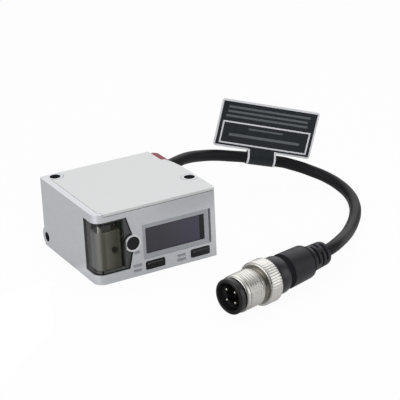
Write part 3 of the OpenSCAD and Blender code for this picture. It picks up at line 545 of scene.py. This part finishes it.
bpy.ops.curve.primitive_bezier_circle_add(radius=wrap_r * MM)
wrap = bpy.context.active_object
wrap.name = "flag_label_wrap"
wrap.data.dimensions = "2D"
wrap.data.fill_mode = "NONE"
wrap.data.extrude = wrap_half * MM
wrap.data.resolution_u = 16
# The bezier circle's points are left, top, right and bottom. The top one becomes the fold.
fold = wrap.data.splines[0].bezier_points[1]
fold.handle_left_type = fold.handle_right_type = "FREE"
fold.co = (0, fold_z * MM, 0)
fold.handle_left = (-fold_w * MM, (fold_z - fold_deep) * MM, 0)
fold.handle_right = (fold_w * MM, (fold_z - fold_deep) * MM, 0)
bpy.ops.object.convert(target="MESH")
wrap = bpy.context.active_object
wrap.rotation_euler = (math.radians(90), 0, math.radians(90))
settle()
split_along(wrap, [(0, -wrap_half + border), (0, wrap_half - border)])
dress(wrap, film, pale_print)
for face in wrap.data.polygons:
    if abs(face.center.x) > (wrap_half - border) * MM:
        face.material_index = 1
thicken(wrap, film_t)
lay_down(flag, flag_lay)
lay_down(wrap, wrap_lay)
smooth(wrap, 50)
pick(flag, wrap)
bpy.ops.object.join()
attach(flag, SENSOR)
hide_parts("flag_label")


# Housing: one zinc die casting with rounded edges. It carries the rim to the left of the lid, two
# bosses, the ring of the round button and the rear rail.
# Metallic paint: cool silver with a fine sparkle and soft reflections.
paint = grained(
    "silver_paint_on_casting", ("#BDC0C6", "#D4D7DB"), 0.3, 0.35, 0.035,
    roughness=0.2, metallic=0.42,
)
# The bores, the end hole and the inside of the casting are painted near black: painted shade for
# the little light that reaches there.
painted_shade_inside = grained("zinc_painted_shade_inside", ("#1C1C1E", "#262628"), 0.6, 0.2, 0.02, roughness=0.6)
# The ring's paint is painted lighter: a painted highlight that makes it stand out as a bright line
# round the button.
ring_painted_highlight = grained(
    "silver_paint_with_painted_highlight_on_ring", ("#E4E5E6", "#F0F1F2"), 0.3, 0.2, 0.02, roughness=0.2, metallic=0.42
)
housing = finished_copy("housing", 0.25, 3, 32)
dress(housing, paint, painted_shade_inside, ring_painted_highlight)
bore_r, bore_places = 1.9, [(-17.4, 18.1), (19.4, -8.15)]
end_hole_y, end_hole_z, end_hole_r, end_hole_x1 = 18, 3.5, 1.7, -19
ring_x, ring_z, ring_r, ring_y1 = -8.8, 12.1, 3.1, -20.8
for face in housing.data.polygons:
    x, y, z = (v / MM for v in face.center)
    round_bore = any(math.hypot(x - a, y - b) < bore_r for a, b in bore_places)
    in_bore = round_bore and abs(face.normal.z) < 0.5
    in_end_hole = math.hypot(y - end_hole_y, z - end_hole_z) < end_hole_r and x < end_hole_x1
    inside = -19.75 < x < 20.45 and -19.65 < y < 18.6 and 1.15 < z < 23.2
    # Faces in the bores, the end hole and the inside get the painted shade.
    if in_bore or in_end_hole or inside:
        face.material_index = 1
    # The ring's front gets the painted highlight.
    elif y < ring_y1 and math.hypot(x - ring_x, z - ring_z) < ring_r:
        face.material_index = 2
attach(housing, SENSOR)


# Side cover: the lid over the electronics, lying on a gasket. Its paint is blunter than the
# casting's and a little lighter: the lighter tone is painted light, so the top looks evenly pale.
lid_paint_painted_light = grained(
    "silver_paint_on_lid_painted_light", ("#C7C8C9", "#D5D6D7"), 0.3, 0.3, 0.03, roughness=0.34, metallic=0.38
)
side_cover = finished_copy("side_cover", 0.2, 3, 32)
dress(side_cover, lid_paint_painted_light)
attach(side_cover, SENSOR)

# Nitrile rubber: dull black, seen as the thin dark seam under the lid.
rubber = grained("black_nitrile_rubber", ("#1C1C1E", "#262628"), 0.3, 0.2, 0.02, roughness=0.7)
for name in ("cover_seal", "window_seal"):
    dress(frame["nodes"][name], rubber)


# Indicator cover: a clear smoke-grey polycarbonate moulding that wraps round the corner. Its cut
# edges are painted nearly black: painted shade for the light that runs to the edges of such a
# tinted sheet and is lost there.
smoky = start_material(
    "smoke_polycarbonate", base_color=to_linear("#15150E"), roughness=0.06, alpha=0.37,
    specular_ior_level=0.5,
)
smoky_edge_painted_shade = start_material(
    "smoke_polycarbonate_painted_dark_edge", base_color=to_linear("#10100E"), roughness=0.2, alpha=0.9
)
indicator_cover = finished_copy("indicator_cover", 0.12, 2, 30)
dress(indicator_cover, smoky, smoky_edge_painted_shade)
front_edge_x, left_edge_y = -12.3, -13.0
for face in indicator_cover.data.polygons:
    x, y, _ = (v / MM for v in face.center)
    on_front_end = face.normal.x > 0.5 and x > front_edge_x
    on_left_end = face.normal.y > 0.5 and y > left_edge_y
    # The cut edges get the painted shade.
    if abs(face.normal.z) > 0.5 or on_front_end or on_left_end:
        face.material_index = 1
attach(indicator_cover, SENSOR)


# Light guide: a block of milky acrylic with an olive cast, which spreads the lamps' light. Its
# colour carries painted light: lighter at the rounded corner, as if it glowed where the lamps' wall
# is open behind it, and fading along the face to painted shade on the dark side.
def colour_across(material, x0, x1, stops):
    """A colour that changes along X between two places in mm, by stops of (share, colour)."""
    along = add_node(material, "ShaderNodeSeparateXYZ", None, {"Vector": place_on(material)})
    share = add_node(
        material, "ShaderNodeMapRange", {"From Min": x0 * MM, "From Max": x1 * MM},
        {"Value": along.outputs["X"]},
    )
    ramp = add_node(material, "ShaderNodeValToRGB", None, {"Fac": share.outputs["Result"]})
    ramp.color_ramp.elements[0].color = to_linear(stops[0][1])
    ramp.color_ramp.elements[1].color = to_linear(stops[-1][1])
    for position, colour in stops[1:-1]:
        ramp.color_ramp.elements.new(position).color = to_linear(colour)
    return ramp.outputs["Color"]


def distance_from(material, place):
    """How far each point of the piece is from a place in mm, in metres."""
    return add_node(
        material, "ShaderNodeVectorMath", {"operation": "DISTANCE", 1: Vector(place) * MM},
        {0: place_on(material)},
    ).outputs["Value"]


def ease(owner, value, edge, full, low, high):
    """A level that goes softly from low, where the value is at its edge, to high at full."""
    return add_node(
        owner, "ShaderNodeMapRange",
        {
            "interpolation_type": "SMOOTHSTEP", "From Min": edge, "From Max": full,
            "To Min": low, "To Max": high,
        },
        {"Value": value},
    ).outputs["Result"]


guide_plastic = grained("milky_acrylic_with_painted_light", ("#F4F4F2", "#FAFAF8"), 1.5, 0.1, 0.02, roughness=0.3)
# Painted light and shade: the colour is lightest near the rounded corner and darkens along the face
# to the right.
fade = colour_across(guide_plastic, -20.7, -12.6, (
    (0.0, "#F6F8FA"), (0.1, "#FFFFFA"), (0.2, "#B4B4A8"), (0.3, "#A3A396"), (0.42, "#C2C2B4"),
    (0.62, "#A5A597"), (0.85, "#88887B"), (1.0, "#8C8C80"),
))
# The face is darkened softly round its locating hole: painted shade.
painted_shade_round_hole = ease(
    guide_plastic, distance_from(guide_plastic, (-14.5, -19.6, 10.6)), 0.7 * MM, 1.7 * MM, 0.3, 1.0
)
faded = add_node(
    guide_plastic, "ShaderNodeVectorMath", {"operation": "SCALE"}, {0: fade, "Scale": painted_shade_round_hole}
)
shader = guide_plastic.node_tree.nodes["Principled BSDF"]
grain_with_painted_light = add_node(
    guide_plastic, "ShaderNodeVectorMath", {"operation": "MULTIPLY"},
    {0: shader.inputs["Base Color"].links[0].from_socket, 1: faded.outputs["Vector"]},
)
link_shader(guide_plastic, grain_with_painted_light.outputs["Vector"], "Base Color")
# Its top and right edges and the fin are clear, and a weak emission gives them a painted glow for
# the light that runs inside the acrylic.
acrylic_edge_painted_glow = grained(
    "acrylic_edge_with_painted_glow", ("#F6F6F4", "#FFFFFC"), 1.5, 0.05, 0.01,
    roughness=0.15, emission_color=(1, 1, 1, 1), emission_strength=0.45,
)
light_guide = finished_copy("light_guide", 0.12, 2, 30)
dress(light_guide, guide_plastic, acrylic_edge_painted_glow)
front_top_z, front_top_y, right_x, fin_z = 17.3, -18.4, -13, 17.5
for face in light_guide.data.polygons:
    x, y, z = (v / MM for v in face.center)
    on_front_edge = z > front_top_z and face.normal.z > 0.3 and y < front_top_y
    on_right_edge = face.normal.x > 0.2 and face.normal.y < -0.2 and x > right_x
    on_fin = z > fin_z and (face.normal.x < -0.3 or face.normal.z > 0.3)
    # These edges and the fin get the painted glow.
    if on_fin or on_front_edge or on_right_edge:
        face.material_index = 1
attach(light_guide, SENSOR)

# Lamps: clear yellowish epoxy. The boards are green, apart from the lamps' own, which is painted
# light grey: painted light that makes the room behind the smoky cover look grey.
lamp = grained("lamp_epoxy", ("#E2DDC4", "#EFEBD6"), 0.4, 0.1, 0.01, roughness=0.25)
dress(frame["nodes"]["indicator_leds"], lamp)
board = grained(
    "solder_mask_on_glass_epoxy", ("#28503D", "#33614B"), 0.6, 0.15, 0.02, roughness=0.4
)
for name in ("panel_board", "main_board", "receiver_board"):
    dress(frame["nodes"][name], board)
board_painted_light = grained("solder_mask_painted_light", ("#AEB0B6", "#BABCC2"), 0.6, 0.15, 0.02, roughness=0.35)
dress(frame["nodes"]["indicator_board"], board_painted_light)


# Display: a moulded bezel and a tinted glass bonded behind its frame. The bezel's paint is a darker
# silver than the lid's, so it shows as a quiet frame.
bezel_paint = grained(
    "silver_paint_on_bezel", ("#9FA1A7", "#AAACB2"), 0.3, 0.2, 0.02, roughness=0.38, metallic=0.38
)
bezel = finished_copy("display_bezel", 0.18, 2, 32)
dress(bezel, bezel_paint)
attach(bezel, SENSOR)

glass_x0, glass_x1, glass_z0, glass_z1 = -4.0, 17.55, 6.95, 15.95
painted_shade_left, painted_shade_low, painted_shade_high, strip_x = 0.3, 0.15, 0.35, 15.9
# Tinted glass: smooth, a neutral grey in the middle that turns violet towards the right end.
tinted = start_material("tinted_glass", roughness=0.12, ior=1.5)
tint = colour_across(tinted, glass_x0, 16.0, (
    (0.0, "#39383E"), (0.25, "#39383C"), (0.5, "#3B3A40"), (0.72, "#3C3A47"), (1.0, "#3D3A4A"),
))
link_shader(tinted, tint, "Base Color")
# A black mask is printed on the back of the glass as a strip at its right end. The line along its
# edges is painted shade, where the bezel's frame shades the glass.
mask_and_painted_shade = grained(
    "black_mask_and_painted_shade_under_glass", ("#101012", "#141416"), 3.0, 0.02, 0.01, roughness=0.12, ior=1.5
)
display_glass = finished_copy("display_glass", 0.05, 1, 32)
clear_x0, clear_z0, clear_z1 = glass_x0 + painted_shade_left, glass_z0 + painted_shade_low, glass_z1 - painted_shade_high
split_along(display_glass, [(0, clear_x0), (0, strip_x), (2, clear_z0), (2, clear_z1)])
dress(display_glass, tinted, mask_and_painted_shade)
# Faces outside the clear middle get the black: the printed strip and the painted shade along the
# edges.
for face in display_glass.data.polygons:
    x, _, z = (v / MM for v in face.center)
    if not (clear_x0 < x < strip_x and clear_z0 < z < clear_z1):
        face.material_index = 1
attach(display_glass, SENSOR)

# Display layer: dark and smooth behind the glass.
layer = grained("display_layer", ("#1B1A20", "#211F28"), 1.0, 0.05, 0.01, roughness=0.3)
dress(frame["nodes"]["display_panel"], layer)


# Buttons: three moulded keys on snap-action switches, each kept in by a flange. Their plastic is
# glossy black. The upper edge of the keys' bars is painted lighter as a thin line: a painted
# highlight.
key_plastic = grained(
    "black_key_plastic", ("#161618", "#1E1E20"), 0.3, 0.25, 0.02,
    roughness=0.22, specular_ior_level=0.5,
)
key_edge_painted_highlight = grained(
    "painted_highlight_on_key_edge", ("#626266", "#707074"), 0.3, 0.25, 0.02,
    roughness=0.2, specular_ior_level=0.6,
)
bar_h = 0.45
for name in ("round_button", "left_key", "right_key"):
    button = finished_copy(name, 0.15, 3, 32)
    dress(button, key_plastic, key_edge_painted_highlight)
    bar_y1 = min(vertex.co.y for vertex in button.data.vertices) + bar_h * MM
    for face in button.data.polygons:
        # The upper edges of the keys' bars get the painted highlight.
        if name != "round_button" and face.center.y < bar_y1 and face.normal.z > 0.2:
            face.material_index = 1
    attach(button, name + "_body")

# Switches: off-white, dull.
switch_plastic = grained(
    "switch_thermoplastic", ("#BFBFBA", "#CDCDC8"), 0.4, 0.1, 0.01, roughness=0.5
)
dress(frame["nodes"]["key_switches"], switch_plastic)


# Legends: plain bars of dull grey pad print beside the keys and under the round button.
ink = grained("grey_pad_print", ("#787B7F", "#82858A"), 0.3, 0.1, 0.01, roughness=0.5)
face_y, ink_t, ink_out = -20.75, 0.02, 0.012
legends = [
    (-8.5, -6.4, 8.0, 8.9), (-9.1, -5.9, 3.3, 4.3), (-9.1, -6.1, 1.6, 2.6),
    (7.0, 10.0, 3.0, 3.9), (6.9, 10.1, 1.4, 2.4),
]
marks = []
for x0, x1, z0, z1 in legends:
    bpy.ops.mesh.primitive_plane_add(size=1, rotation=(math.radians(90), 0, 0))
    mark = bpy.context.active_object
    mark.scale = ((x1 - x0) * MM, (z1 - z0) * MM, 1)
    mark.location = ((x0 + x1) / 2 * MM, (face_y - ink_out) * MM, (z0 + z1) / 2 * MM)
    settle()
    thicken(mark, ink_t)
    marks.append(mark)
pick(*marks)
bpy.ops.object.join()
marks[0].name = "key_legends"
dress(marks[0], ink)
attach(marks[0], SENSOR)


# Electronics and optics inside: seen only through the optical window and the indicator cover. The
# chips and the optical block are dull black, and the screws and the diode's can are bright steel.
chip = grained("epoxy_moulding_compound", ("#1A1A1C", "#232326"), 0.3, 0.2, 0.01, roughness=0.5)
for name in ("main_chips", "receiver_chip"):
    dress(frame["nodes"][name], chip)
steel = grained(
    "zinc_plated_steel", ("#B4B4B0", "#C6C6C2"), 0.4, 0.1, 0.01, metallic=1.0, roughness=0.3
)
for name in ("board_screws", "laser_diode"):
    dress(frame["nodes"][name], steel)
optics = grained(
    "black_glass_filled_plastic", ("#1B1B1D", "#262629"), 0.3, 0.3, 0.03, roughness=0.6
)
optical_block = finished_copy("optical_block", 0.2, 2, 32)
dress(optical_block, optics)
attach(optical_block, SENSOR)
# Coated lens glass: clear, with a faint blue cast.
lens_glass = start_material(
    "coated_lens_glass", base_color=to_linear("#DCE6EE"), roughness=0.02, transmission_weight=1.0,
    ior=1.52,
)
for name in ("collimator_lens", "receiver_lens"):
    lens = finished_copy(name, 0.08, 2, 40)
    dress(lens, lens_glass)
    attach(lens, SENSOR)
# Dark red acrylic: lets the laser's red through and hides the rest.
red_acrylic = start_material(
    "dark_red_acrylic", base_color=to_linear("#B8323C"), roughness=0.03, transmission_weight=1.0,
    ior=1.49,
)
optical_window = finished_copy("optical_window", 0.12, 2, 32)
dress(optical_window, red_acrylic)
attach(optical_window, SENSOR)


# Cable outlet: a moulded block in the rear right corner, which the cable leaves through. Its
# polycarbonate is a dusky red with a weak sheen.
red_plastic = grained(
    "red_polycarbonate", ("#823840", "#8D4048"), 0.5, 0.1, 0.02,
    roughness=0.38, specular_ior_level=0.12,
)
cable_outlet = finished_copy("cable_outlet", 0.2, 3, 32)
dress(cable_outlet, red_plastic)
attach(cable_outlet, SENSOR)


# Floor: white paper that the camera sees lit evenly. Polished and painted metal show it too, but
# with painted light on it: a painted pool of light on the left, a painted darker stretch in front,
# under the camera, and a little over half light elsewhere.
def combine(owner, kind, first, second):
    """Joins a level and a second level or number by a sum, a product or the larger of the two."""
    constant = {1: second} if isinstance(second, float) else {}
    linked = {0: first} if constant else {0: first, 1: second}
    node = add_node(owner, "ShaderNodeMath", {"operation": kind, **constant}, linked)
    return node.outputs["Value"]


def spot(owner, way, direction, edge, full, level):
    """A level round a direction, which rises softly from the cosine edge to the cosine full."""
    toward = add_node(
        owner, "ShaderNodeVectorMath", {"operation": "DOT_PRODUCT", 1: direction}, {0: way}
    )
    return ease(owner, toward.outputs["Value"], edge, full, 0.0, level)


bpy.ops.mesh.primitive_plane_add(size=3, location=(0, 0, -0.05 * MM))
floor = bpy.context.active_object
floor.name = "floor"
paper = start_material("white_paper", base_color=to_linear("#E4E4E4"), roughness=0.9)
ray = add_node(paper, "ShaderNodeLightPath").outputs
seen = combine(paper, "MAXIMUM", ray["Is Camera Ray"], ray["Is Transmission Ray"])
around = add_node(
    paper, "ShaderNodeVectorMath", {"operation": "NORMALIZE"}, {0: place_on(paper)}
).outputs["Vector"]
half_light, seen_share, mirrored_share = 0.62, 0.95, 0.75
# Painted light on the paper: a pool on the left and a darker stretch in front.
light = combine(
    paper, "ADD",
    spot(paper, around, (-0.9, -0.43, 0), 0.9, 0.99, 0.5),
    spot(paper, around, (-0.32, -0.947, 0), 0.86, 0.98, -0.45),
)
# Painted shadow: the paper right before the display face is darkened as the sensor's own shade.
shade = ease(paper, distance_from(paper, (-6, -34, 0)), 14 * MM, 45 * MM, -0.55, 0.0)
light = combine(paper, "ADD", combine(paper, "ADD", light, shade), half_light)
glow = add_node(
    paper, "ShaderNodeEmission", {"Color": (1, 1, 1, 1)},
    {"Strength": combine(paper, "MAXIMUM", light, seen)},
)
share = combine(
    paper, "MAXIMUM",
    combine(paper, "MULTIPLY", seen, seen_share),
    combine(paper, "MULTIPLY", ray["Is Glossy Ray"], mirrored_share),
)
mix = add_node(paper, "ShaderNodeMixShader", None, {
    "Fac": share, 1: paper.node_tree.nodes["Principled BSDF"].outputs[0], 2: glow.outputs[0],
})
output = paper.node_tree.nodes["Material Output"]
paper.node_tree.links.new(mix.outputs[0], output.inputs["Surface"])
dress(floor, paper)


# Surroundings: white where the camera sees them and a plain level for dull surfaces. Shiny ones
# mirror a large panel behind and above, a small one low on the right, one on the left, and a dim
# room that is darkest round the camera and at the far right.
world = bpy.data.worlds.new("studio")
bpy.context.scene.world = world
world.use_nodes = True
world.node_tree.nodes.clear()
ray = add_node(world, "ShaderNodeLightPath").outputs
way = add_node(world, "ShaderNodeTexCoord").outputs["Generated"]


def panel(direction, edge, full, level):
    """A soft bright panel in the surroundings."""
    return spot(world, way, Vector(direction).normalized(), edge, full, level)


mirrored = panel((0.50, 0.62, 0.60), 0.72, 0.95, 0.8)
mirrored = combine(world, "MAXIMUM", mirrored, panel((0.815, -0.545, 0.22), 0.9, 0.975, 0.85))
mirrored = combine(world, "MAXIMUM", mirrored, panel((-0.9, -0.1, 0.4), 0.75, 0.95, 1.1))
dark_sides = combine(
    world, "MAXIMUM",
    panel((-0.46, -0.80, 0.38), 0.66, 0.88, 1.0),
    panel((0.99, 0.12, 0.05), 0.86, 0.96, 0.9),
)
room = add_node(
    world, "ShaderNodeMapRange", {"To Min": 0.5, "To Max": 0.03}, {"Value": dark_sides}
).outputs["Result"]
mirrored = combine(world, "ADD", mirrored, room)
mirrored = combine(world, "MULTIPLY", mirrored, ray["Is Glossy Ray"])
seen = combine(world, "MAXIMUM", ray["Is Camera Ray"], ray["Is Transmission Ray"])
plain_level = 0.38
lit = combine(world, "MULTIPLY", ray["Is Diffuse Ray"], plain_level)
level = combine(world, "MAXIMUM", combine(world, "MAXIMUM", seen, mirrored), lit)
back = add_node(world, "ShaderNodeBackground", {"Color": (1, 1, 1, 1)}, {"Strength": level})
add_node(world, "ShaderNodeOutputWorld", None, {"Surface": back.outputs[0]})


# Softboxes: a broad one overhead and one in front light the paint and plastic. Their mirror images
# are the panels above, so that they look soft and even, and they themselves aren't mirrored.
for name, place, size, watts in (
    ("overhead_softbox", (0.05, 0.15, 0.9), 1.0, 3.7),
    ("front_softbox", (-0.28, -0.8, 0.4), 0.5, 5.9),
):
    bpy.ops.object.light_add(type="AREA", location=place)
    softbox = bpy.context.active_object
    softbox.name = name
    softbox.rotation_euler = Vector(place).to_track_quat("Z", "Y").to_euler()
    softbox.data.shape = "SQUARE"
    softbox.data.size = size
    softbox.data.energy = watts
    softbox.data.color = (1.0, 0.99, 0.98)
    softbox.visible_glossy = False

bpy.context.scene.view_settings.view_transform = "Standard"
